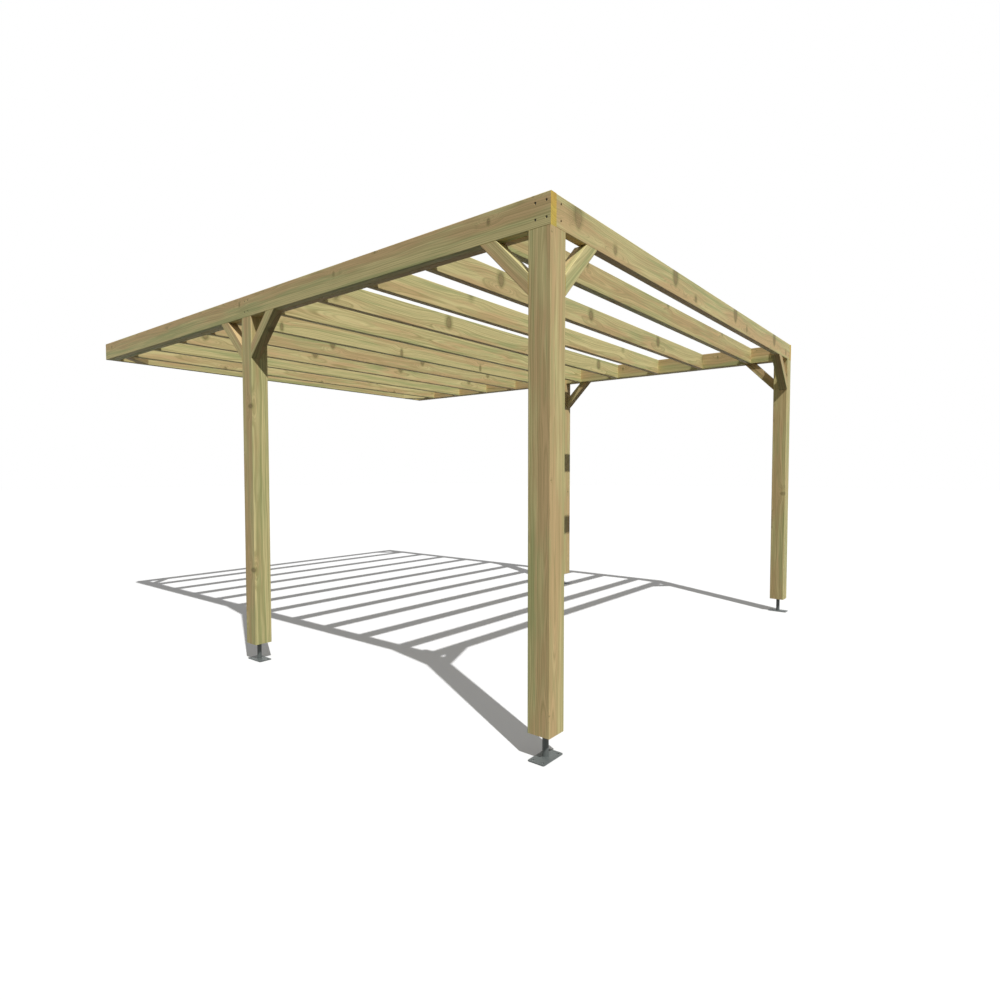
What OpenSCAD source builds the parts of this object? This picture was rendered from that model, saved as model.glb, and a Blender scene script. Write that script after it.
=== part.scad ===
// Lean-to pergola: a flat open timber frame on four notched posts.
// The frame's rear beam rests against a house wall, which carries that side.
// Origin: centre of the footprint at ground level. +X right, +Y to the wall, +Z up.

/* [Frame] */
// Width over the two side beams
frame_w = 4050; // [3000:10:6000]
// Depth from the front face to the wall
frame_d = 5000; // [3600:10:7000]
// Height of the top of the timbers over the ground
frame_h = 2520; // [2000:10:3200]

/* [Timbers] */
// Side of the square posts
post_w = 120; // [90:5:180]
// Thickness of the beams and rafters
board_t = 45; // [28:1:60]
// Height of the beams and rafters
board_h = 145; // [95:5:220]
// Side of the square section of every brace
brace_w = 70; // [45:1:95]

/* [Rafters] */
// Number of rafters, even, so that none meets the middle posts
rafter_count = 10; // [6:2:14]
// From the front face, and from the wall, to the middle of the nearest rafter
rafter_inset = 358; // [280:1:450]

/* [Braces] */
// Reach of a knee brace, along the beam from the post and down the post from the beam
knee_leg = 282; // [200:2:450]
// Gap between the last rafter and the flat corner braces at the wall
corner_brace_gap = 27; // [5:1:60]

/* [Feet] */
// Height of the post's end over the ground
foot_h = 120; // [60:5:200]
// Length of the foot plate
plate_l = 160; // [140:5:220]
// Width of the foot plate
plate_w = 90; // [80:5:140]
// Thickness of the foot plate
plate_t = 5; // [4:0.5:12]
// Radius of the plate's corners
plate_corner_r = 8; // [2:1:20]
// Diameter of the foot's stem
stem_d = 30; // [24:1:48]
// Diameter of the dowel that runs from the stem into the post's end
dowel_d = 20; // [12:1:22]
// Length of that dowel
dowel_l = 120; // [80:5:200]
// Play between the dowel and its hole, on the radius
dowel_play = 0.5; // [0.3:0.1:1.5]
// Room at the end of the dowel's hole
dowel_room = 10; // [2:1:30]
// Diameter of the anchor bolt holes in the plate
anchor_d = 12; // [9:0.5:14]
// From the plate's edge to the middle of an anchor hole
anchor_edge = 18; // [14:1:24]

/* [Hidden] */
$fn = 64;
// Directions that a knee brace runs in, seen from its post
TO_RIGHT = 0;
TO_WALL = 90;
TO_LEFT = 180;
TO_FRONT = 270;
// Cuts run this far past the surface that they open
cut = 1;

half_w = frame_w / 2;
front_y = -frame_d / 2;
wall_y = frame_d / 2;
beam_z = frame_h - board_h;
clear_w = frame_w - 2 * board_t;
// Rafters stand between the inner boards of the two side beams
rafter_w = clear_w - 2 * board_t;
rafter_pitch = (frame_d - 2 * rafter_inset) / (rafter_count - 1);
corner_leg = rafter_inset - board_t / 2 - board_t - corner_brace_gap;
// A square brace at 45 degrees takes up this much of the timber it meets
brace_cut = brace_w * sqrt(2);
post_x = half_w - post_w / 2;
post_front_y = front_y + post_w / 2;

function two_digits(i) = str(i < 10 ? "0" : "", i);
function rafter_name(i) = str("rafter_", two_digits(i));

// Posts: name, side of the frame (-1 left, 1 right), middle along the depth,
// turn of the foot plate, whether it stands at a front corner
POSTS = [
    ["front_left", -1, post_front_y, 0, true],
    ["front_right", 1, post_front_y, 90, true],
    ["middle_left", -1, 0, 90, false],
    ["middle_right", 1, 0, 90, false],
];

// Knee braces: name, side of the frame, middle of the post along the depth, direction
KNEES = [
    ["knee_brace_front_left_across", -1, post_front_y, TO_RIGHT],
    ["knee_brace_front_left_along", -1, post_front_y, TO_WALL],
    ["knee_brace_front_right_across", 1, post_front_y, TO_LEFT],
    ["knee_brace_front_right_along", 1, post_front_y, TO_WALL],
    ["knee_brace_middle_left_to_front", -1, 0, TO_FRONT],
    ["knee_brace_middle_left_to_wall", -1, 0, TO_WALL],
    ["knee_brace_middle_right_to_front", 1, 0, TO_FRONT],
    ["knee_brace_middle_right_to_wall", 1, 0, TO_WALL],
];

// Inner boards: name, side of the frame, where they start and end along the depth
INNER_BOARDS = [
    ["inner_board_left_front", -1, front_y + post_w, -post_w / 2],
    ["inner_board_left_rear", -1, post_w / 2, wall_y - board_t],
    ["inner_board_right_front", 1, front_y + post_w, -post_w / 2],
    ["inner_board_right_rear", 1, post_w / 2, wall_y - board_t],
];

// A side beam runs the whole depth on the outside of the posts.
module side_beam(side) {
    color("darkkhaki")
        translate([side < 0 ? -half_w : half_w - board_t, front_y, beam_z])
            cube([board_t, frame_d, board_h]);
}

// The front and the wall beam stand between the side beams.
module cross_beam(outer_y, inward) {
    color("burlywood")
        translate([-clear_w / 2, inward > 0 ? outer_y : outer_y - board_t, beam_z])
            cube([clear_w, board_t, board_h]);
}

// A second board doubles each side beam on its inside, between the posts and on to the wall beam.
module inner_board(side, from_y, to_y) {
    color("olive")
        translate([side < 0 ? -clear_w / 2 : clear_w / 2 - board_t, from_y, beam_z])
            cube([board_t, to_y - from_y, board_h]);
}

// A rafter runs from one inner board to the other, flush with them above and below.
module rafter(i) {
    color("khaki")
        translate([-rafter_w / 2, front_y + rafter_inset + (i - 1) * rafter_pitch - board_t / 2, beam_z])
            cube([rafter_w, board_t, board_h]);
}

// A post is notched on its outer faces, so that the beams sit on it, flush with it.
module post(side, mid_y, at_corner) {
    outer_x = side * half_w;
    color("tan")
        difference() {
            translate([side * post_x - post_w / 2, mid_y - post_w / 2, foot_h])
                cube([post_w, post_w, frame_h - foot_h]);
            // Seat of the side beam
            translate([outer_x - (side < 0 ? cut : board_t), mid_y - post_w / 2 - cut, beam_z])
                cube([board_t + cut, post_w + 2 * cut, board_h + cut]);
            // Seat of the front beam
            if (at_corner)
                translate([side * post_x - post_w / 2 - cut, front_y - cut, beam_z])
                    cube([post_w + 2 * cut, board_t + cut, board_h + cut]);
            // Hole for the foot's dowel
            translate([side * post_x, mid_y, foot_h - cut])
                cylinder(d = dowel_d + 2 * dowel_play, h = dowel_l + dowel_room + cut);
        }
}

// Outline of a 45 degree brace in the corner between two timbers, with both ends cut to sit on them.
module brace_outline(leg) {
    polygon([[0, leg], [0, leg - brace_cut], [leg - brace_cut, 0], [leg, 0]]);
}

// A knee brace stands in the corner under a beam, flush with the outer face of the frame.
module knee_brace(side, mid_y, direction) {
    across = direction == TO_RIGHT || direction == TO_LEFT;
    flat_y = across ? front_y + brace_w / 2 : mid_y;
    flat_x = across ? side * post_x : side * (half_w - brace_w / 2);
    color("peru")
        translate([flat_x, flat_y, beam_z])
            rotate(direction)
                translate([post_w / 2, brace_w / 2, 0])
                    rotate([90, 0, 0])
                        linear_extrude(brace_w)
                            mirror([0, 1])
                                brace_outline(knee_leg);
}

// A corner brace lies flat between an inner board and the wall beam, flush with them below.
module corner_brace(side) {
    color("peru")
        translate([side * rafter_w / 2, wall_y - board_t, beam_z])
            mirror([side < 0 ? 0 : 1, 0, 0])
                mirror([0, 1, 0])
                    linear_extrude(brace_w)
                        brace_outline(corner_leg);
}

// A foot plate lies on the ground under its post, with four holes for anchor bolts.
module foot_plate(side, mid_y, turn) {
    color("dimgray")
        translate([side * post_x, mid_y, 0])
            rotate(turn)
                linear_extrude(plate_t)
                    difference() {
                        plate_outline();
                        for (x = [-1, 1], y = [-1, 1])
                            translate([x * (plate_l / 2 - anchor_edge), y * (plate_w / 2 - anchor_edge)])
                                circle(d = anchor_d);
                    }
}

// A rectangle with round corners.
module plate_outline() {
    square([plate_l - 2 * plate_corner_r, plate_w], center = true);
    square([plate_l, plate_w - 2 * plate_corner_r], center = true);
    for (x = [-1, 1], y = [-1, 1])
        translate([x * (plate_l / 2 - plate_corner_r), y * (plate_w / 2 - plate_corner_r)])
            circle(r = plate_corner_r);
}

// A stem stands on its plate and carries the post on its shoulder; its dowel keeps the post in place.
module foot_stem(side, mid_y) {
    color("darkslategray")
        translate([side * post_x, mid_y, 0]) {
            translate([0, 0, plate_t])
                cylinder(d = stem_d, h = foot_h - plate_t);
            translate([0, 0, foot_h - cut])
                cylinder(d = dowel_d, h = dowel_l + cut);
        }
}

side_beam(-1);  // beam_left
side_beam(1);  // beam_right
cross_beam(front_y, 1);  // beam_front
cross_beam(wall_y, -1);  // beam_wall
for (b = INNER_BOARDS)
    inner_board(b[1], b[2], b[3]);
for (i = [1:rafter_count])
    rafter(i);
for (p = POSTS)
    post(p[1], p[2], p[4]);
for (k = KNEES)
    knee_brace(k[1], k[2], k[3]);
corner_brace(-1);  // corner_brace_left
corner_brace(1);  // corner_brace_right
for (p = POSTS)
    foot_plate(p[1], p[2], p[3]);
for (p = POSTS)
    foot_stem(p[1], p[2]);
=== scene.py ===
import math
import random

import bmesh
import bpy
from mathutils import Matrix, Vector


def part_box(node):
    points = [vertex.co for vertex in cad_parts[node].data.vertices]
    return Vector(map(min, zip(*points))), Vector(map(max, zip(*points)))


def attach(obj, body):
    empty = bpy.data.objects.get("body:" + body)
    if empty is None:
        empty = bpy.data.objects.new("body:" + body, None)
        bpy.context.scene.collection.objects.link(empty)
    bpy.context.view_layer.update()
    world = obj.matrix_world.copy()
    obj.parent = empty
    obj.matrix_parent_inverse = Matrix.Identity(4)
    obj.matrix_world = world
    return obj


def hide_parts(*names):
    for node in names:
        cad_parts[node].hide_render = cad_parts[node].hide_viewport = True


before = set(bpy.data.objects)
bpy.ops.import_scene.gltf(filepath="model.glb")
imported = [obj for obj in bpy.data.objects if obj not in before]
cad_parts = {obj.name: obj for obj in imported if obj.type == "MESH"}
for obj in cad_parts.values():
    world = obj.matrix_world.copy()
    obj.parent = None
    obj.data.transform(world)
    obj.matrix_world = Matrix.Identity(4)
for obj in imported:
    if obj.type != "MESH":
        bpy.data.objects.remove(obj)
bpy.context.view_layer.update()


# Foot plates
# Four plates of 5 mm steel sheet lie on the ground under the posts. Their edges are broken, their
# corners are round, and each has four holes for ground anchors. Zinc under a dark grey coat.

MM = 0.001
POST_NAMES = ("front_left", "front_right", "middle_left", "middle_right")
PLATE_EDGE = 0.6 * MM


def linear(hex_colour):
    """The linear RGBA of an sRGB colour such as #6b7170."""
    parts = [int(hex_colour[i:i + 2], 16) / 255 for i in (1, 3, 5)]
    return [c / 12.92 if c <= 0.04045 else ((c + 0.055) / 1.055) ** 2.4 for c in parts] + [1.0]


def add(tree, kind, inputs=None, **settings):
    """Adds a node with its settings, fills or links its inputs, and gives its outputs."""
    new = tree.nodes.new(kind)
    for name, value in settings.items():
        setattr(new, name, value)
    for key, value in (inputs or {}).items():
        if isinstance(value, bpy.types.NodeSocket):
            tree.links.new(value, new.inputs[key])
        else:
            new.inputs[key].default_value = value
    return new.outputs


def empty_material(name):
    """A new material, with its tree and its surface shader to go on with."""
    material = bpy.data.materials.new(name)
    material.use_nodes = True
    return material, material.node_tree, material.node_tree.nodes["Principled BSDF"]


def coated_steel():
    """Sheet steel, galvanised and coated dark grey: a fine orange peel and slightly cloudy gloss."""
    material, tree, shader = empty_material("coated steel, satin dark grey")
    place = add(tree, "ShaderNodeTexCoord")["Object"]
    cloud = add(tree, "ShaderNodeTexNoise", {"Vector": place, "Scale": 30.0, "Detail": 3.0})["Fac"]
    peel = add(tree, "ShaderNodeTexNoise", {"Vector": place, "Scale": 900.0, "Detail": 1.0})["Fac"]
    colour = add(tree, "ShaderNodeMix", {0: cloud, 6: linear("#595e5c"), 7: linear("#686d6b")},
                 data_type="RGBA")[2]
    gloss = add(tree, "ShaderNodeMapRange", {"Value": cloud, "To Min": 0.42, "To Max": 0.6})[0]
    bump = add(tree, "ShaderNodeBump", {"Height": peel, "Strength": 0.3, "Distance": 0.1 * MM})[0]
    tree.links.new(colour, shader.inputs["Base Color"])
    tree.links.new(gloss, shader.inputs["Roughness"])
    tree.links.new(bump, shader.inputs["Normal"])
    return material


def finish_piece(piece, nodes):
    """Puts a piece on the frame's one body, in place of its nodes."""
    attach(piece, "root")
    if nodes:
        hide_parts(*nodes)


def shade_by_angle(mesh, degrees=35):
    """Smooth shading, with edges over the angle kept sharp."""
    mesh.shade_smooth()
    mesh.set_sharp_from_angle(angle=math.radians(degrees))


def new_object(name, data):
    """A new object in the scene that holds this mesh, lamp or camera."""
    made = bpy.data.objects.new(name, data)
    bpy.context.scene.collection.objects.link(made)
    return made


def as_mesh(form, name):
    """The finished form as a new mesh."""
    mesh = bpy.data.meshes.new(name)
    form.to_mesh(mesh)
    form.free()
    return mesh


def eased_copy(node, edge):
    """A merged copy of a CAD node's mesh with its sharp edges rounded over."""
    copy = bmesh.new()
    copy.from_mesh(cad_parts[node].data)
    bmesh.ops.remove_doubles(copy, verts=copy.verts, dist=0.01 * MM)
    bmesh.ops.dissolve_limit(copy, angle_limit=math.radians(1), verts=copy.verts, edges=copy.edges)
    sharp = [e for e in copy.edges if e.is_manifold and e.calc_face_angle() > math.radians(50)]
    bmesh.ops.bevel(copy, geom=sharp, offset=edge, segments=2, affect="EDGES", profile=0.5)
    return as_mesh(copy, node)


steel = coated_steel()
for post in POST_NAMES:
    mesh = eased_copy("foot_plate_" + post, PLATE_EDGE)
    mesh.materials.append(steel)
    shade_by_angle(mesh)
    finish_piece(new_object("plate_" + post, mesh), ["foot_plate_" + post])


# Foot stems
# A 30 mm round steel bar stands on each plate and carries the post on its shoulder. A thinner
# dowel goes on from it into the post's end grain. A bead of weld runs round its lower end.

STEM_SIDES = 48
DOWEL_R = 10 * MM
STEM_EDGE = 1 * MM
DOWEL_EDGE = 2 * MM
BEAD_R = 2.2 * MM
BEAD_RIPPLES = 34
# How far the middle of the bead lies out from the stem and up from the plate
BEAD_OUT = BEAD_R / 3


def lathe(name, profile, sides, centre):
    """A closed solid turned about the vertical, from its outline as (radius, height) points."""
    form = bmesh.new()
    rings = []
    for radius, height in profile:
        ring = []
        for i in range(sides):
            turn = 2 * math.pi * i / sides
            place = Vector((radius * math.cos(turn), radius * math.sin(turn), height))
            ring.append(form.verts.new(centre + place))
        rings.append(ring)
    for low, high in zip(rings, rings[1:]):
        for i in range(sides):
            j = (i + 1) % sides
            form.faces.new((low[i], low[j], high[j], high[i]))
    form.faces.new(rings[0][::-1])
    form.faces.new(rings[-1])
    return as_mesh(form, name)


def open_tree(name, inputs):
    """A new geometry tree with these inputs, as (label, kind, value), and what its input node gives."""
    tree = bpy.data.node_groups.new(name, "GeometryNodeTree")
    for label, kind, value in inputs:
        socket = tree.interface.new_socket(label, in_out="INPUT", socket_type="NodeSocket" + kind)
        if value is not None:
            socket.default_value = value
    tree.interface.new_socket("Geometry", in_out="OUTPUT", socket_type="NodeSocketGeometry")
    return tree, add(tree, "NodeGroupInput")


def weld_tree():
    """Overlapping drops along a circle, as a hand weld leaves them."""
    tree, given = open_tree("weld bead", (
        ("Radius", "Float", 15 * MM),
        ("Bead", "Float", BEAD_R),
        ("Ripples", "Int", BEAD_RIPPLES),
        ("Seed", "Int", 3),
        ("Finish", "Material", None)))
    ring = add(tree, "GeometryNodeCurvePrimitiveCircle",
               {"Resolution": given["Ripples"], "Radius": given["Radius"]})[0]
    points = add(tree, "GeometryNodeCurveToPoints", {"Curve": ring, "Count": given["Ripples"]}, mode="COUNT")
    drop = add(tree, "GeometryNodeMeshIcoSphere", {"Radius": given["Bead"], "Subdivisions": 2})[0]
    size = add(tree, "FunctionNodeRandomValue", {2: 0.85, 3: 1.1, "Seed": given["Seed"]},
               data_type="FLOAT")[1]
    drops = add(tree, "GeometryNodeInstanceOnPoints", {"Points": points["Points"], "Instance": drop,
                                                       "Rotation": points["Rotation"], "Scale": size})[0]
    real = add(tree, "GeometryNodeRealizeInstances", {"Geometry": drops})[0]
    done = add(tree, "GeometryNodeSetMaterial", {"Geometry": real, "Material": given["Finish"]})[0]
    add(tree, "NodeGroupOutput", {0: done})
    return tree


def grown(tree, name, values, source=None):
    """The plain mesh that a node tree makes with these input values, from a source mesh if it needs one."""
    holder = new_object(name, source or bpy.data.meshes.new(name))
    modifier = holder.modifiers.new("grow", "NODES")
    modifier.node_group = tree
    sockets = {s.name: s.identifier for s in tree.interface.items_tree if s.in_out == "INPUT"}
    for label, value in values.items():
        modifier[sockets[label]] = value
    seen = holder.evaluated_get(bpy.context.evaluated_depsgraph_get())
    mesh = bpy.data.meshes.new_from_object(seen)
    holder.modifiers.clear()
    bpy.data.objects.remove(holder)
    mesh.name = name
    return mesh


weld = weld_tree()
plate_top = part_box("foot_plate_front_left")[1].z
post_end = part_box("post_front_left")[0].z
for seed, post in enumerate(POST_NAMES):
    low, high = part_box("foot_stem_" + post)
    centre = Vector(((low.x + high.x) / 2, (low.y + high.y) / 2, 0))
    stem_r = (high.x - low.x) / 2
    outline = [(stem_r, plate_top), (stem_r, post_end - STEM_EDGE), (stem_r - STEM_EDGE, post_end),
               (DOWEL_R, post_end), (DOWEL_R, high.z - DOWEL_EDGE), (DOWEL_R - DOWEL_EDGE, high.z)]
    mesh = lathe("stem_" + post, outline, STEM_SIDES, centre)
    mesh.materials.append(steel)
    shade_by_angle(mesh)
    finish_piece(new_object("stem_" + post, mesh), ["foot_stem_" + post])
    bead = grown(weld, "weld_" + post, {"Radius": stem_r + BEAD_OUT, "Seed": seed, "Finish": steel})
    bead.transform(Matrix.Translation(centre + Vector((0, 0, plate_top + BEAD_OUT))))
    bead.shade_smooth()
    finish_piece(new_object("weld_" + post, bead), [])


# Posts
# Square posts of planed softwood, pressure-treated green. Each is cut away at its head for the
# beams that it carries, and is drilled in its lower end for the dowel of its foot.

ACROSS = Vector((1, 0, 0))
TO_WALL = Vector((0, 1, 0))
UP = Vector((0, 0, 1))
ARRIS = 3 * MM
ARRIS_STEPS = 3
DOWEL_HOLE_R = 10.5 * MM
DOWEL_HOLE_DEEP = 130 * MM
DOWEL_HOLE_SIDES = 24
# Along the trunk, in metres
KNOT_SPACING = 1.1
TREE_SEED = 12
# Half a growth ring. Real rings are 2 to 4 mm wide, and these are drawn coarser, so that they show.
HALF_RING = 4 * MM
# Colours of a finish: sapwood, where it has taken the green salts, heartwood and the lines of late wood.
PLANED_COLOURS = {"sap": "#d8cb92", "green": "#adb27a", "heart": "#cfb382", "line": "#847c48"}
SAWN_COLOURS = {"sap": "#e0c35c", "green": "#cdb95a", "heart": "#d8b458", "line": "#a88a3c"}
# A knot from its middle outwards: place, colour, and how much of the wood it covers.
KNOT_RAMP = ((0.0, "#756340", 0.7), (0.2, "#756340", 0.68), (0.33, "#605a34", 0.72), (0.46, "#74733f", 0.42),
             (0.8, "#8a8d58", 0.0))


def timber_tree():
    """A planed timber: a rectangle with eased corners drawn out along X, its ends square or mitred."""
    tree, given = open_tree("planed timber", (
        ("Length", "Float", 1.0),
        ("Width", "Float", 45 * MM),
        ("Height", "Float", 145 * MM),
        ("Arris", "Float", ARRIS),
        ("Arris Steps", "Int", ARRIS_STEPS),
        ("Mitre", "Float", 0.0),
        ("Planed Finish", "Material", None),
        ("Sawn Finish", "Material", None)))
    half = add(tree, "ShaderNodeMath", {0: given["Length"], 1: 0.5}, operation="MULTIPLY")[0]
    back = add(tree, "ShaderNodeMath", {0: half, 1: -1.0}, operation="MULTIPLY")[0]
    start = add(tree, "ShaderNodeCombineXYZ", {"X": back})[0]
    end = add(tree, "ShaderNodeCombineXYZ", {"X": half})[0]
    line = add(tree, "GeometryNodeCurvePrimitiveLine", {"Start": start, "End": end})[0]
    section = add(tree, "GeometryNodeCurvePrimitiveQuadrilateral",
                  {"Width": given["Width"], "Height": given["Height"]})[0]
    eased = add(tree, "GeometryNodeFilletCurve",
                {"Curve": section, "Count": given["Arris Steps"], "Radius": given["Arris"],
                 "Limit Radius": True}, mode="POLY")[0]
    body = add(tree, "GeometryNodeCurveToMesh", {"Curve": line, "Profile Curve": eased, "Fill Caps": True})[0]
    # A mitre shears both ends towards each other: x becomes x (1 - 2 mitre z / length).
    place = add(tree, "GeometryNodeInputPosition")[0]
    part = add(tree, "ShaderNodeSeparateXYZ", {0: place})
    lean = add(tree, "ShaderNodeMath", {0: part["Z"], 1: given["Mitre"]}, operation="MULTIPLY")[0]
    share = add(tree, "ShaderNodeMath", {0: lean, 1: half}, operation="DIVIDE")[0]
    moved = add(tree, "ShaderNodeMath", {0: share, 1: part["X"]}, operation="MULTIPLY")[0]
    less = add(tree, "ShaderNodeMath", {0: moved, 1: -1.0}, operation="MULTIPLY")[0]
    shift = add(tree, "ShaderNodeCombineXYZ", {"X": less})[0]
    cut = add(tree, "GeometryNodeSetPosition", {"Geometry": body, "Offset": shift})[0]
    facing = add(tree, "ShaderNodeSeparateXYZ", {0: add(tree, "GeometryNodeInputNormal")[0]})[0]
    steep = add(tree, "ShaderNodeMath", {0: facing}, operation="ABSOLUTE")[0]
    is_end = add(tree, "FunctionNodeCompare", {0: steep, 1: 0.6}, data_type="FLOAT",
                 operation="GREATER_THAN")[0]
    real = add(tree, "GeometryNodeRealizeInstances", {"Geometry": cut})[0]
    planed = add(tree, "GeometryNodeSetMaterial", {"Geometry": real, "Material": given["Planed Finish"]})[0]
    done = add(tree, "GeometryNodeSetMaterial", {"Geometry": planed, "Selection": is_end,
                                                 "Material": given["Sawn Finish"]})[0]
    add(tree, "NodeGroupOutput", {0: done})
    return tree


def knot_row():
    """A row of knots: branches that leave the heart at one angle, at even steps with some play.

    Distance is 0 in a knot's middle and 1 at its edge. Sweep is how far the grain bends round it."""
    tree = bpy.data.node_groups.new("row of knots", "ShaderNodeTree")
    tree.interface.new_socket("From Heart", in_out="INPUT", socket_type="NodeSocketVector")
    for label in ("First", "Angle", "Size"):
        tree.interface.new_socket(label, in_out="INPUT", socket_type="NodeSocketFloat")
    for label in ("Distance", "Sweep"):
        tree.interface.new_socket(label, in_out="OUTPUT", socket_type="NodeSocketFloat")
    given = add(tree, "NodeGroupInput")
    part = add(tree, "ShaderNodeSeparateXYZ", {0: given["From Heart"]})
    along = add(tree, "ShaderNodeMath", {0: part["X"], 1: given["First"]}, operation="SUBTRACT")[0]
    steps = add(tree, "ShaderNodeMath", {0: along, 1: 1 / KNOT_SPACING}, operation="MULTIPLY")[0]
    index = add(tree, "ShaderNodeMath", {0: steps}, operation="ROUND")[0]
    seed = add(tree, "ShaderNodeMath", {0: index, 1: given["Angle"]}, operation="ADD")[0]
    play = add(tree, "ShaderNodeTexWhiteNoise", {"W": seed}, noise_dimensions="1D")[0]
    aside = add(tree, "ShaderNodeMapRange", {"Value": play, "To Min": -60 * MM, "To Max": 60 * MM})[0]
    middle = add(tree, "ShaderNodeMath", {0: index, 1: KNOT_SPACING, 2: aside}, operation="MULTIPLY_ADD")[0]
    off = add(tree, "ShaderNodeMath", {0: along, 1: middle}, operation="SUBTRACT")[0]
    cos = add(tree, "ShaderNodeMath", {0: given["Angle"]}, operation="COSINE")[0]
    sin = add(tree, "ShaderNodeMath", {0: given["Angle"]}, operation="SINE")[0]
    branch = add(tree, "ShaderNodeCombineXYZ", {"Y": cos, "Z": sin})[0]
    back = add(tree, "ShaderNodeMath", {0: sin, 1: -1.0}, operation="MULTIPLY")[0]
    side = add(tree, "ShaderNodeCombineXYZ", {"Y": back, "Z": cos})[0]
    out = add(tree, "ShaderNodeVectorMath", {0: given["From Heart"], 1: branch},
              operation="DOT_PRODUCT")["Value"]
    across = add(tree, "ShaderNodeVectorMath", {0: given["From Heart"], 1: side},
                 operation="DOT_PRODUCT")["Value"]
    # A branch thickens from the heart outwards, and has none of its length behind the heart.
    grown_r = add(tree, "ShaderNodeMapRange", {"Value": out, "From Max": 80 * MM, "To Min": 0.2})[0]
    radius = add(tree, "ShaderNodeMath", {0: grown_r, 1: given["Size"]}, operation="MULTIPLY")[0]
    offset = add(tree, "ShaderNodeCombineXYZ", {"X": off, "Y": across})[0]
    near = add(tree, "ShaderNodeVectorMath", {0: offset}, operation="LENGTH")["Value"]
    ratio = add(tree, "ShaderNodeMath", {0: near, 1: radius}, operation="DIVIDE")[0]
    behind = add(tree, "ShaderNodeMath", {0: out, 1: 0.0}, operation="LESS_THAN")[0]
    distance = add(tree, "ShaderNodeMath", {0: behind, 1: 9.0, 2: ratio}, operation="MULTIPLY_ADD")[0]
    stretched = add(tree, "ShaderNodeVectorMath", {0: offset, 1: (0.3, 1.0, 1.0)}, operation="MULTIPLY")[0]
    wide = add(tree, "ShaderNodeVectorMath", {0: stretched}, operation="LENGTH")["Value"]
    wide_ratio = add(tree, "ShaderNodeMath", {0: wide, 1: radius}, operation="DIVIDE")[0]
    sweep = add(tree, "ShaderNodeMapRange", {"Value": wide_ratio, "From Min": 4.0, "From Max": 0.5},
                interpolation_type="SMOOTHERSTEP")[0]
    held = add(tree, "ShaderNodeMath", {0: 1.0, 1: behind}, operation="SUBTRACT")[0]
    bent = add(tree, "ShaderNodeMath", {0: sweep, 1: held}, operation="MULTIPLY")[0]
    add(tree, "NodeGroupOutput", {"Distance": distance, "Sweep": bent})
    return tree


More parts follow.
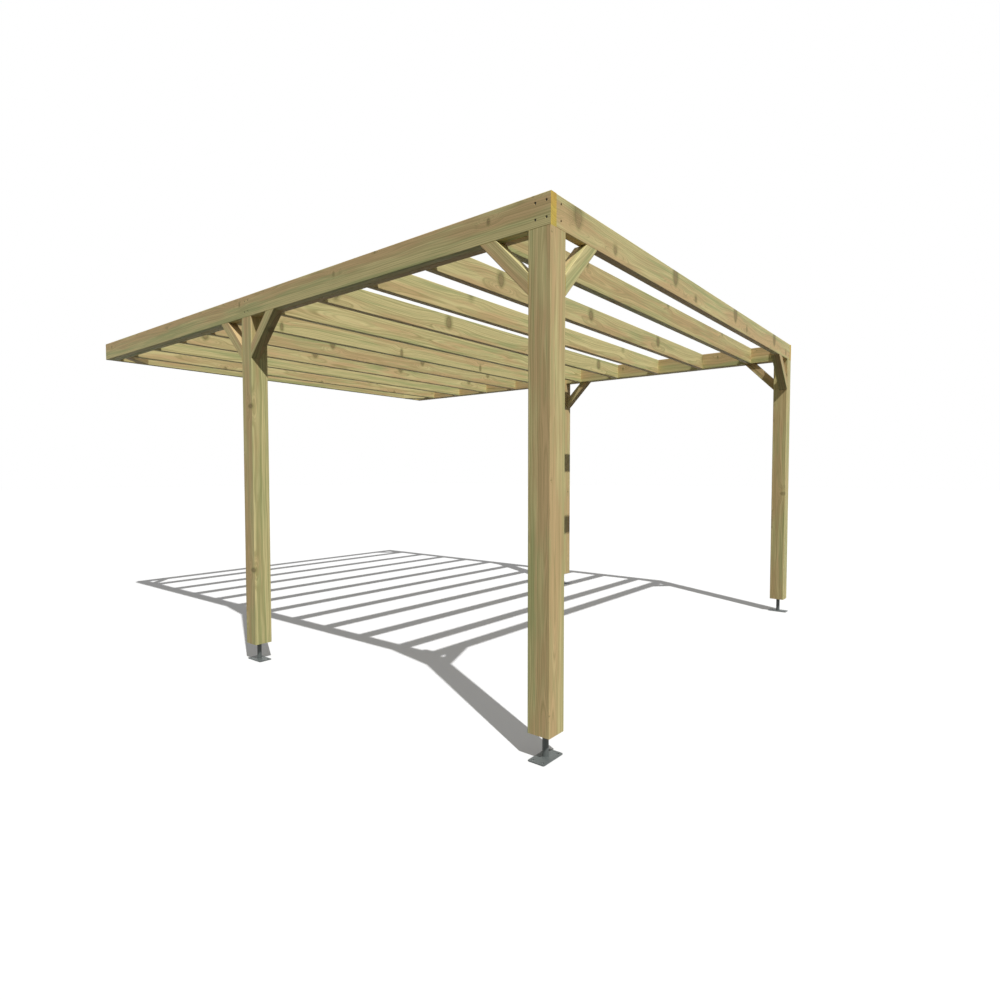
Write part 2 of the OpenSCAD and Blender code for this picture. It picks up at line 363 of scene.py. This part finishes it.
def treated_softwood(name, colours, knot_rows):
    """Pine or spruce, pressure-treated: the sapwood has taken the green salts, the heart stays tan.

    Growth rings are cylinders round the tree's heart, so faces show long bands and ends show arcs."""
    material, tree, shader = empty_material(name)
    grain = add(tree, "ShaderNodeAttribute", attribute_name="grain")["Vector"]
    marks = add(tree, "ShaderNodeAttribute", attribute_name="knots")["Vector"]
    knots = add(tree, "ShaderNodeSeparateXYZ", {0: marks})
    tone = add(tree, "ShaderNodeAttribute", attribute_name="tone")["Fac"]

    # The heart wanders by some 15 mm within a metre, as a trunk does.
    slow = add(tree, "ShaderNodeVectorMath", {0: grain, 1: (1.3, 6.0, 6.0)}, operation="MULTIPLY")[0]
    sway = add(tree, "ShaderNodeTexNoise", {"Vector": slow, "Scale": 1.0, "Detail": 2.0})["Color"]
    centred = add(tree, "ShaderNodeVectorMath", {0: sway, 1: (0.5, 0.5, 0.5)}, operation="SUBTRACT")[0]
    heart = add(tree, "ShaderNodeVectorMath", {0: centred, 1: (0.0, 45 * MM, 45 * MM), 2: grain},
                operation="MULTIPLY_ADD")[0]

    # Two rows of knots: the distance of the first one along the trunk, the angle, the greatest radius.
    rows = []
    for start, angle, radius in ((0.0, knots["X"], 30 * MM), (0.33, knots["Y"], 24 * MM)):
        size = add(tree, "ShaderNodeMath", {0: knots["Z"], 1: radius}, operation="MULTIPLY")[0]
        rows.append(add(tree, "ShaderNodeGroup", {"From Heart": heart, "First": start, "Angle": angle,
                                                  "Size": size}, node_tree=knot_rows))
    first, second = rows
    nearest = add(tree, "ShaderNodeMath", {0: first["Distance"], 1: second["Distance"]},
                  operation="MINIMUM")[0]
    sweep = add(tree, "ShaderNodeMath", {0: first["Sweep"], 1: second["Sweep"]}, operation="MAXIMUM")[0]

    # Distance from the heart, with the rings pushed 16 mm out round each knot.
    flat = add(tree, "ShaderNodeVectorMath", {0: heart, 1: (0.0, 1.0, 1.0)}, operation="MULTIPLY")[0]
    round_r = add(tree, "ShaderNodeVectorMath", {0: flat}, operation="LENGTH")["Value"]
    radius = add(tree, "ShaderNodeMath", {0: sweep, 1: -16 * MM, 2: round_r}, operation="MULTIPLY_ADD")[0]

    # Growth rings, late wood in the outer part of each, grouped in darker and paler bands of 10 to 20 mm.
    bands = add(tree, "ShaderNodeTexNoise", {"W": radius, "Scale": 95.0, "Detail": 3.0, "Roughness": 0.62},
                noise_dimensions="1D")["Fac"]
    band = add(tree, "ShaderNodeMapRange", {"Value": bands, "From Min": 0.42, "From Max": 0.68},
               interpolation_type="SMOOTHSTEP")[0]
    ring = add(tree, "ShaderNodeMath", {0: radius, 1: HALF_RING}, operation="PINGPONG")[0]
    late = add(tree, "ShaderNodeMapRange", {"Value": ring, "From Min": 0.55 * HALF_RING,
                                            "From Max": HALF_RING}, interpolation_type="SMOOTHSTEP")[0]
    fades = add(tree, "ShaderNodeVectorMath", {0: grain, 1: (2.5, 30.0, 30.0)}, operation="MULTIPLY")[0]
    fade = add(tree, "ShaderNodeTexNoise", {"Vector": fades, "Scale": 1.0, "Detail": 3.0})["Fac"]
    line = add(tree, "ShaderNodeMath", {0: late, 1: fade}, operation="MULTIPLY")[0]
    lines = add(tree, "ShaderNodeMath", {0: band, 1: 0.75, 2: line}, operation="MULTIPLY_ADD")[0]

    # Sapwood against heartwood, and the uneven uptake of the salts.
    blots = add(tree, "ShaderNodeVectorMath", {0: grain, 1: (1.7, 16.0, 16.0)}, operation="MULTIPLY")[0]
    blot = add(tree, "ShaderNodeTexNoise", {"Vector": blots, "Scale": 1.0, "Detail": 3.0, "Roughness": 0.55})
    uneven = add(tree, "ShaderNodeMapRange", {"Value": blot["Fac"], "From Min": 0.3, "From Max": 0.7,
                                              "To Min": -0.045, "To Max": 0.045})[0]
    taken = add(tree, "ShaderNodeMath", {0: radius, 1: uneven}, operation="ADD")[0]
    sap = add(tree, "ShaderNodeMapRange", {"Value": taken, "From Min": 0.025, "From Max": 0.085},
              interpolation_type="SMOOTHSTEP")[0]
    streaks = add(tree, "ShaderNodeVectorMath", {0: grain, 1: (1.1, 26.0, 26.0), 2: (7.0, 3.0, 1.0)},
                  operation="MULTIPLY_ADD")[0]
    streak = add(tree, "ShaderNodeTexNoise", {"Vector": streaks, "Scale": 1.0, "Detail": 3.0,
                                              "Roughness": 0.6})["Fac"]
    green = add(tree, "ShaderNodeMapRange", {"Value": streak, "From Min": 0.44, "From Max": 0.66,
                                             "To Max": 0.85}, interpolation_type="SMOOTHSTEP")[0]
    sapwood = add(tree, "ShaderNodeMix", {0: green, 6: linear(colours["sap"]), 7: linear(colours["green"])},
                  data_type="RGBA")[2]
    wood = add(tree, "ShaderNodeMix", {0: sap, 6: linear(colours["heart"]), 7: sapwood}, data_type="RGBA")[2]
    shade = add(tree, "ShaderNodeMath", {0: lines, 1: 0.6}, operation="MULTIPLY")[0]
    ringed = add(tree, "ShaderNodeMix", {0: shade, 6: wood, 7: linear(colours["line"])}, data_type="RGBA")[2]

    # Knots: brown, dark at the rim, in a greenish stain.
    outwards = add(tree, "ShaderNodeMath", {0: nearest, 1: 0.4}, operation="MULTIPLY")[0]
    knot = add(tree, "ShaderNodeValToRGB", {"Fac": outwards})
    ramp = knot[0].node.color_ramp
    ramp.elements.remove(ramp.elements[1])
    for i, (position, colour, cover) in enumerate(KNOT_RAMP):
        element = ramp.elements.new(position) if i else ramp.elements[0]
        element.position = position
        element.color = linear(colour)[:3] + [cover]
    knotted = add(tree, "ShaderNodeMix", {0: knot["Alpha"], 6: ringed, 7: knot["Color"]}, data_type="RGBA")[2]

    # No two timbers are alike in depth of colour. Fibres run along each, drawn 2 mm wide so that they show.
    depth = add(tree, "ShaderNodeMapRange", {"Value": tone, "To Min": 1.0, "To Max": 1.17})[0]
    fibres = add(tree, "ShaderNodeVectorMath", {0: grain, 1: (6.0, 500.0, 500.0)}, operation="MULTIPLY")[0]
    fibre = add(tree, "ShaderNodeTexNoise", {"Vector": fibres, "Scale": 1.0, "Detail": 2.0})["Fac"]
    hair = add(tree, "ShaderNodeMapRange", {"Value": fibre, "From Min": 0.3, "From Max": 0.7, "To Min": 0.87,
                                            "To Max": 1.1})[0]
    level = add(tree, "ShaderNodeMath", {0: depth, 1: hair}, operation="MULTIPLY")[0]
    final = add(tree, "ShaderNodeVectorMath", {0: knotted, "Scale": level}, operation="SCALE")[0]
    dry = add(tree, "ShaderNodeMapRange", {"Value": lines, "To Min": 0.72, "To Max": 0.56})[0]
    relief = add(tree, "ShaderNodeMath", {0: lines, 1: 0.6, 2: fibre}, operation="MULTIPLY_ADD")[0]
    bump = add(tree, "ShaderNodeBump", {"Height": relief, "Strength": 0.5, "Distance": 0.3 * MM})[0]
    tree.links.new(final, shader.inputs["Base Color"])
    tree.links.new(dry, shader.inputs["Roughness"])
    tree.links.new(bump, shader.inputs["Normal"])
    shader.inputs["IOR"].default_value = 1.5
    shader.inputs["Specular IOR Level"].default_value = 0.3
    return material


def shade_timber(mesh):
    """Smooth shading on the eased corners only, so that the planed faces and sawn ends stay flat."""
    shade_by_angle(mesh)
    for face in mesh.polygons:
        if max(abs(c) for c in face.normal) > 0.999:
            face.use_smooth = False


def mark_grain(mesh, heart, start, knots, tone):
    """Writes where each point lies in its tree: along the trunk from a knot, and across from the heart."""
    for name, kind in (("grain", "FLOAT_VECTOR"), ("knots", "FLOAT_VECTOR"), ("tone", "FLOAT")):
        mesh.attributes.new(name, kind, "POINT")
    offset = Vector((start, heart[0], heart[1]))
    for i, vertex in enumerate(mesh.vertices):
        mesh.attributes["grain"].data[i].vector = vertex.co - offset
        mesh.attributes["knots"].data[i].vector = knots
        mesh.attributes["tone"].data[i].value = tone


def stand(mesh, centre, along, up):
    """Puts a timber made along X in its place: X turns to along, Z to up."""
    turn = Matrix((along, up.cross(along), up)).transposed().to_4x4()
    mesh.transform(Matrix.Translation(centre) @ turn)


def carved(mesh, cutters):
    """The mesh with the cutter meshes taken out of it."""
    body = new_object("carved", mesh)
    tools = []
    for cutter in cutters:
        tool = new_object("cutter", cutter)
        tools.append(tool)
        modifier = body.modifiers.new("cut", "BOOLEAN")
        modifier.operation = "DIFFERENCE"
        modifier.solver = "EXACT"
        modifier.object = tool
    seen = body.evaluated_get(bpy.context.evaluated_depsgraph_get())
    result = bpy.data.meshes.new_from_object(seen)
    result.name = mesh.name
    body.modifiers.clear()
    for spare in tools + [body]:
        bpy.data.objects.remove(spare)
    return result


def block(low, high):
    """A plain box, to cut with."""
    form = bmesh.new()
    bmesh.ops.create_cube(form, size=1)
    middle, size = (low + high) / 2, high - low
    for vertex in form.verts:
        vertex.co = middle + Vector([vertex.co[i] * size[i] for i in range(3)])
    return as_mesh(form, "block")


knot_rows = knot_row()
planed = treated_softwood("planed softwood, pressure-treated", PLANED_COLOURS, knot_rows)
sawn = treated_softwood("sawn end grain, pressure-treated", SAWN_COLOURS, knot_rows)
timber = timber_tree()
draw = random.Random(TREE_SEED)


def make_timber(name, size, mitre=0.0, heart=None, start=None, angles=None, tone=None, knot_size=1.0,
                cutters=()):
    """A planed timber along X with its middle at the origin, marked with where it lay in the tree.

    Heart is where the tree's heart runs, across the timber, and start is where its first knot is. Angles
    are those at which the two rows of knots leave the heart. What isn't given is drawn at random."""
    mesh = grown(timber, name, {"Length": size[0], "Width": size[1], "Height": size[2], "Mitre": mitre,
                                "Planed Finish": planed, "Sawn Finish": sawn})
    if cutters:
        mesh = carved(mesh, cutters)
    # Metres from the timber's middle, metres along it, radians round the heart, and a share of the depth.
    drawn_heart = (draw.uniform(0.0, 0.08), draw.uniform(-0.08, 0.08))
    drawn_start = draw.uniform(0, KNOT_SPACING)
    drawn_angles = (draw.uniform(1.75, 2.3), draw.uniform(3.9, 4.5))
    drawn_tone = draw.uniform(0.2, 0.9)
    mark_grain(mesh, heart or drawn_heart, drawn_start if start is None else start,
               (*(angles or drawn_angles), knot_size), drawn_tone if tone is None else tone)
    shade_timber(mesh)
    return mesh


beam_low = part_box("beam_front")[0].z
beam_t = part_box("beam_left")[1].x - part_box("beam_left")[0].x
# Cutters run this far past the surface that they open.
PAST = 5 * MM
NEAR_POST_HEART = (-22 * MM, -30 * MM)
HEART_PLAY = 30 * MM

for post in POST_NAMES:
    low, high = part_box("post_" + post)
    size = high - low
    middle = (low + high) / 2
    side = -1 if middle.x < 0 else 1
    # In the timber's own frame X is up the post, Y is across the frame and Z is towards the wall.
    seat = beam_low - middle.z
    outer = side * (size.x / 2 + PAST)
    inner = side * (size.x / 2 - beam_t)
    seats = [block(Vector((seat, min(outer, inner), -size.y / 2 - PAST)),
                   Vector((size.z / 2 + PAST, max(outer, inner), size.y / 2 + PAST)))]
    if post.startswith("front"):
        seats.append(block(Vector((seat, -size.x / 2 - PAST, -size.y / 2 - PAST)),
                           Vector((size.z / 2 + PAST, size.x / 2 + PAST, -size.y / 2 + beam_t))))
    hole = lathe("hole", [(DOWEL_HOLE_R, -PAST), (DOWEL_HOLE_R, DOWEL_HOLE_DEEP)], DOWEL_HOLE_SIDES, Vector())
    hole.transform(Matrix.Translation(Vector((-size.z / 2, 0, 0))) @ Matrix.Rotation(math.pi / 2, 4, "Y"))
    # The near post is all but free of knots, and the heart runs through every post.
    if post == "front_left":
        heart, knot_size = NEAR_POST_HEART, 0.2
    else:
        heart, knot_size = (draw.uniform(-HEART_PLAY, HEART_PLAY), draw.uniform(-HEART_PLAY, HEART_PLAY)), 0.6
    mesh = make_timber("post_" + post, (size.z, size.x, size.y), heart=heart, tone=0.5, knot_size=knot_size,
                       cutters=seats + [hole])
    stand(mesh, middle, UP, TO_WALL)
    finish_piece(new_object("timber_post_" + post, mesh), ["post_" + post])


# Beams
# Four boards on edge, 45 mm thick, make the rim. The side beams run the whole depth, and the
# front and wall beams stand between them. Screws go through them into the posts and each other.

HEAD_SINK = 4 * MM
HEAD_HOLE_R = 6.2 * MM
HEAD_SEAT_R = 0.8 * HEAD_HOLE_R
HEAD_HOLE_SIDES = 20
# Below the top of a beam
SCREW_LEVELS = (35 * MM, 108 * MM)
# Between the two pairs of screws at a middle post
PAIRS_APART = 44 * MM


def screw_holes(places, thickness):
    """Holes for sunk screw heads in a board's outer face, at (along, up) places, narrower at the bottom."""
    outline = [(HEAD_SEAT_R, 0), (HEAD_HOLE_R, HEAD_SINK), (HEAD_HOLE_R, HEAD_SINK + PAST)]
    joined = bmesh.new()
    for along, up in places:
        hole = lathe("hole", outline, HEAD_HOLE_SIDES, Vector())
        face = Vector((along, -thickness / 2 + HEAD_SINK, up))
        hole.transform(Matrix.Translation(face) @ Matrix.Rotation(math.pi / 2, 4, "X"))
        joined.from_mesh(hole)
    return as_mesh(joined, "screw holes")


screws = []
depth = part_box("beam_left")[1].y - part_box("beam_left")[0].y
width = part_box("beam_front")[1].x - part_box("beam_front")[0].x
post_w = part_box("post_front_left")[1].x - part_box("post_front_left")[0].x
# From an outer face of the frame to the middle of what is left of a post's head behind its notch
head_middle = (beam_t + post_w) / 2
SIDE_SCREWS = (beam_t / 2, head_middle, (depth - PAIRS_APART) / 2, (depth + PAIRS_APART) / 2,
               depth - beam_t / 2)
FRONT_SCREWS = (head_middle - beam_t, width - head_middle + beam_t)
# Name, direction of the board, distances of its screws from the front or left end, and where it lay in the
# tree: heart, first knot, angles of its two rows of knots. Last, its depth of colour and its knots' size.
BEAMS = (
    ("beam_left", -TO_WALL, SIDE_SCREWS, (0.012, 0.06), 0.4, (3.9, 2.9), 0.4, 0.4),
    ("beam_right", TO_WALL, SIDE_SCREWS, (0.02, -0.045), 0.2, (2.1, 2.6), 0.3, 0.8),
    ("beam_front", ACROSS, FRONT_SCREWS, (0.01, -0.05), 0.15, (1.98, 2.65), 0.5, 1.1),
    ("beam_wall", -ACROSS, (), (0.03, 0.03), 0.7, (3.3, 2.9), 0.5, 0.8),
)

for node, along, screw_line, heart, first_knot, angles, tone, knot_size in BEAMS:
    low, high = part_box(node)
    middle = (low + high) / 2
    length = max(high.x - low.x, high.y - low.y)
    height = high.z - low.z
    # Distances run from the front or left end, whichever way the board's own X points.
    forward = along.x + along.y
    places = [(forward * (s - length / 2), height / 2 - level)
              for s in screw_line for level in SCREW_LEVELS]
    mesh = make_timber(node, (length, beam_t, height), heart=heart, start=forward * (first_knot - length / 2),
                       angles=angles, tone=tone, knot_size=knot_size,
                       cutters=[screw_holes(places, beam_t)] if places else [])
    stand(mesh, middle, along, UP)
    outward = along.cross(UP)
    for s, up in places:
        screws.append((middle + along * s + UP * up + outward * (beam_t / 2 - HEAD_SINK), outward))
    finish_piece(new_object("timber_" + node, mesh), [node])


# Inner boards
# A second board doubles each side beam on its inside, from the front post to the middle post and
# from there on to the wall beam. The rafters end on it.

INNER_KNOT_SIZE = 0.8

for node in sorted(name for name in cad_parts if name.startswith("inner_board_")):
    low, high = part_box(node)
    size = high - low
    mesh = make_timber(node, (size.y, size.x, size.z), knot_size=INNER_KNOT_SIZE)
    stand(mesh, (low + high) / 2, TO_WALL, UP)
    finish_piece(new_object("timber_" + node, mesh), [node])


# Rafters
# Ten boards on edge run from one inner board to the other, flush with them above and below. They
# are the same stock as the beams.

for node in sorted(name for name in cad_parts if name.startswith("rafter_")):
    low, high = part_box(node)
    size = high - low
    mesh = make_timber(node, size, knot_size=draw.uniform(0.5, 1.0))
    stand(mesh, (low + high) / 2, ACROSS, UP)
    finish_piece(new_object("timber_" + node, mesh), [node])


# Knee braces
# Short square timbers, cut at 45 degrees, stiffen each post to the beams over it, flush with the
# outer face of the frame. Each is named with the way that it leaves its post.

KNEES = {
    "knee_brace_front_left_across": ACROSS,
    "knee_brace_front_left_along": TO_WALL,
    "knee_brace_front_right_across": -ACROSS,
    "knee_brace_front_right_along": TO_WALL,
    "knee_brace_middle_left_to_front": -TO_WALL,
    "knee_brace_middle_left_to_wall": TO_WALL,
    "knee_brace_middle_right_to_front": -TO_WALL,
    "knee_brace_middle_right_to_wall": TO_WALL,
}


def make_brace(node, out, down, leg, side):
    """A brace across the corner that its box fills: out and down lead away from that corner."""
    low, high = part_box(node)
    length = leg * math.sqrt(2) - side
    mesh = make_timber(node, (length, side, side), mitre=1.0)
    # The mitred ends leave the brace's middle a little nearer the corner than the middle of its box.
    middle = (low + high) / 2 - (out + down) * side * math.sqrt(2) / 4
    stand(mesh, middle, (out - down).normalized(), -(out + down).normalized())
    finish_piece(new_object("timber_" + node, mesh), [node])


for node, out in KNEES.items():
    low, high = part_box(node)
    thickness = min(high.x - low.x, high.y - low.y)
    make_brace(node, out, -UP, high.z - low.z, thickness)


# Corner braces
# Two more of the same square timbers lie flat in the corners at the wall, where no post stands.
# They run from the inner boards to the wall beam, flush with them below.

for node, out in (("corner_brace_left", ACROSS), ("corner_brace_right", -ACROSS)):
    low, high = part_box(node)
    make_brace(node, out, -TO_WALL, high.x - low.x, high.z - low.z)


# Screws
# Flange-head wood screws with a star drive, coated dark against the salts in the timber. Their
# heads sit at the bottom of shallow drilled holes.

HEAD_R = 5.4 * MM
HEAD_H = 2.2 * MM
HEAD_SIDES = 28
DRIVE_R = 2.6 * MM
DRIVE_LOBE_R = 0.4 * MM
DRIVE_FLOOR = 0.9 * MM
DRIVE_TOP = 4 * MM


def screw_coating():
    """Coated screw steel: dark brown-grey, dull, a little patchy with wear."""
    material, tree, shader = empty_material("screw steel, dark coated")
    place = add(tree, "ShaderNodeTexCoord")["Object"]
    wear = add(tree, "ShaderNodeTexNoise", {"Vector": place, "Scale": 400.0, "Detail": 2.0})["Fac"]
    colour = add(tree, "ShaderNodeMix", {0: wear, 6: linear("#35322a"), 7: linear("#4d493d")},
                 data_type="RGBA")[2]
    gloss = add(tree, "ShaderNodeMapRange", {"Value": wear, "To Min": 0.4, "To Max": 0.65})[0]
    tree.links.new(colour, shader.inputs["Base Color"])
    tree.links.new(gloss, shader.inputs["Roughness"])
    shader.inputs["Metallic"].default_value = 0.6
    return material


def screw_tree():
    """One screw head on each point, its axis along the point's facing."""
    tree, given = open_tree("screw heads", (
        ("Geometry", "Geometry", None),
        ("Head Radius", "Float", HEAD_R),
        ("Head Height", "Float", HEAD_H),
        ("Drive Radius", "Float", DRIVE_R),
        ("Seed", "Int", 5),
        ("Finish", "Material", None)))
    crown = add(tree, "ShaderNodeMath", {0: given["Head Radius"], 1: 0.72}, operation="MULTIPLY")[0]
    head = add(tree, "GeometryNodeMeshCone",
               {"Vertices": HEAD_SIDES, "Radius Top": crown, "Radius Bottom": given["Head Radius"],
                "Depth": given["Head Height"]})["Mesh"]
    valley = add(tree, "ShaderNodeMath", {0: given["Drive Radius"], 1: 0.72}, operation="MULTIPLY")[0]
    star = add(tree, "GeometryNodeCurveStar", {"Points": 6, "Inner Radius": valley,
                                               "Outer Radius": given["Drive Radius"]})[0]
    lobes = add(tree, "GeometryNodeFilletCurve", {"Curve": star, "Count": 2, "Radius": DRIVE_LOBE_R,
                                                  "Limit Radius": True}, mode="POLY")[0]
    base = add(tree, "ShaderNodeCombineXYZ", {"Z": DRIVE_FLOOR})[0]
    top = add(tree, "ShaderNodeCombineXYZ", {"Z": DRIVE_TOP})[0]
    line = add(tree, "GeometryNodeCurvePrimitiveLine", {"Start": base, "End": top})[0]
    drive = add(tree, "GeometryNodeCurveToMesh",
                {"Curve": line, "Profile Curve": lobes, "Fill Caps": True})[0]
    driven = add(tree, "GeometryNodeMeshBoolean", {"Mesh 1": head, "Mesh 2": drive}, operation="DIFFERENCE",
                 solver="EXACT")[0]
    facing = add(tree, "GeometryNodeInputNamedAttribute", {"Name": "facing"}, data_type="FLOAT_VECTOR")[0]
    spin = add(tree, "FunctionNodeRandomValue", {2: 0.0, 3: 1.0, "Seed": given["Seed"]}, data_type="FLOAT")[1]
    twist = add(tree, "ShaderNodeCombineXYZ", {"Z": spin})[0]
    turned = add(tree, "FunctionNodeEulerToRotation", {0: twist})[0]
    aimed = add(tree, "FunctionNodeAlignRotationToVector", {"Rotation": turned, "Vector": facing},
                axis="Z")[0]
    heads = add(tree, "GeometryNodeInstanceOnPoints", {"Points": given["Geometry"], "Instance": driven,
                                                       "Rotation": aimed})[0]
    real = add(tree, "GeometryNodeRealizeInstances", {"Geometry": heads})[0]
    done = add(tree, "GeometryNodeSetMaterial", {"Geometry": real, "Material": given["Finish"]})[0]
    add(tree, "NodeGroupOutput", {0: done})
    return tree


places = bpy.data.meshes.new("screw places")
places.from_pydata([place for place, outward in screws], [], [])
facing = places.attributes.new("facing", "FLOAT_VECTOR", "POINT")
for i, (place, outward) in enumerate(screws):
    facing.data[i].vector = outward
heads = grown(screw_tree(), "screw_heads", {"Finish": screw_coating()}, source=places)
shade_by_angle(heads, degrees=30)
finish_piece(new_object("screw_heads", heads), [])


# Ground, light and camera
# A pale floor and backdrop, one key lamp like a sun from behind the viewer, an even sky, and a view
# from outside the front left corner, 1.3 m above the ground.

FLOOR_REACH = 60
FLOOR_Z = -0.5 * MM
FLOOR_GLOW = 0.05
SKY_STRENGTH = 0.27
KEY_STRENGTH = 3.4
KEY_SPREAD = math.radians(0.6)
KEY_DIRECTION = Vector((0.334, 0.65, -1.0))
LENS_MM = 22.152
SENSOR_MM = 36
EYE = (-4.2646, -4.0087, 1.2951)
EYE_TURN = math.radians(-51.397)
EYE_DOWN = math.radians(2.299)


def background_share(tree):
    """1 for rays from the camera, or in gloss or glass, and 0 for those that only carry light."""
    ray = add(tree, "ShaderNodeLightPath")
    seen = add(tree, "ShaderNodeMath", {0: ray["Is Camera Ray"], 1: ray["Is Glossy Ray"]},
               operation="MAXIMUM")[0]
    return add(tree, "ShaderNodeMath", {0: seen, 1: ray["Is Transmission Ray"]}, operation="MAXIMUM")[0]


def pale_floor():
    """A matt pale studio floor: near white where it's lit, and it keeps the shadow."""
    material = bpy.data.materials.new("studio floor")
    material.use_nodes = True
    tree = material.node_tree
    tree.nodes.clear()
    bounce = add(tree, "ShaderNodeBsdfDiffuse", {"Color": linear("#3a3a38")})[0]
    matt = add(tree, "ShaderNodeBsdfDiffuse", {"Color": linear("#f0f0f0")})[0]
    glow = add(tree, "ShaderNodeEmission", {"Color": linear("#ffffff"), "Strength": FLOOR_GLOW})[0]
    shown = add(tree, "ShaderNodeAddShader", {0: matt, 1: glow})[0]
    mixed = add(tree, "ShaderNodeMixShader", {0: background_share(tree), 1: bounce, 2: shown})[0]
    add(tree, "ShaderNodeOutputMaterial", {"Surface": mixed})
    return material


floor_mesh = bpy.data.meshes.new("floor")
corners = [(x * FLOOR_REACH, y * FLOOR_REACH, FLOOR_Z) for x, y in ((-1, -1), (1, -1), (1, 1), (-1, 1))]
floor_mesh.from_pydata(corners, [], [(0, 1, 2, 3)])
floor_mesh.materials.append(pale_floor())
new_object("floor", floor_mesh)

world = bpy.data.worlds.new("studio")
bpy.context.scene.world = world
world.use_nodes = True
sky = world.node_tree
sky.nodes.clear()
even = add(sky, "ShaderNodeBackground", {"Color": linear("#ffffff"), "Strength": SKY_STRENGTH})[0]
white = add(sky, "ShaderNodeBackground", {"Color": linear("#ffffff"), "Strength": 1.0})[0]
shown = add(sky, "ShaderNodeMixShader", {0: background_share(sky), 1: even, 2: white})[0]
add(sky, "ShaderNodeOutputWorld", {"Surface": shown})

key = bpy.data.lights.new("key", "SUN")
key.energy = KEY_STRENGTH
key.angle = KEY_SPREAD
new_object("key", key).rotation_euler = KEY_DIRECTION.to_track_quat("-Z", "Y").to_euler()

camera = bpy.data.cameras.new("camera")
camera.lens = LENS_MM
camera.sensor_width = SENSOR_MM
camera.clip_end = 200
eye = new_object("camera", camera)
eye.location = EYE
eye.rotation_euler = (math.pi / 2 - EYE_DOWN, 0, EYE_TURN)
bpy.context.scene.camera = eye
bpy.context.scene.view_settings.view_transform = "Standard"
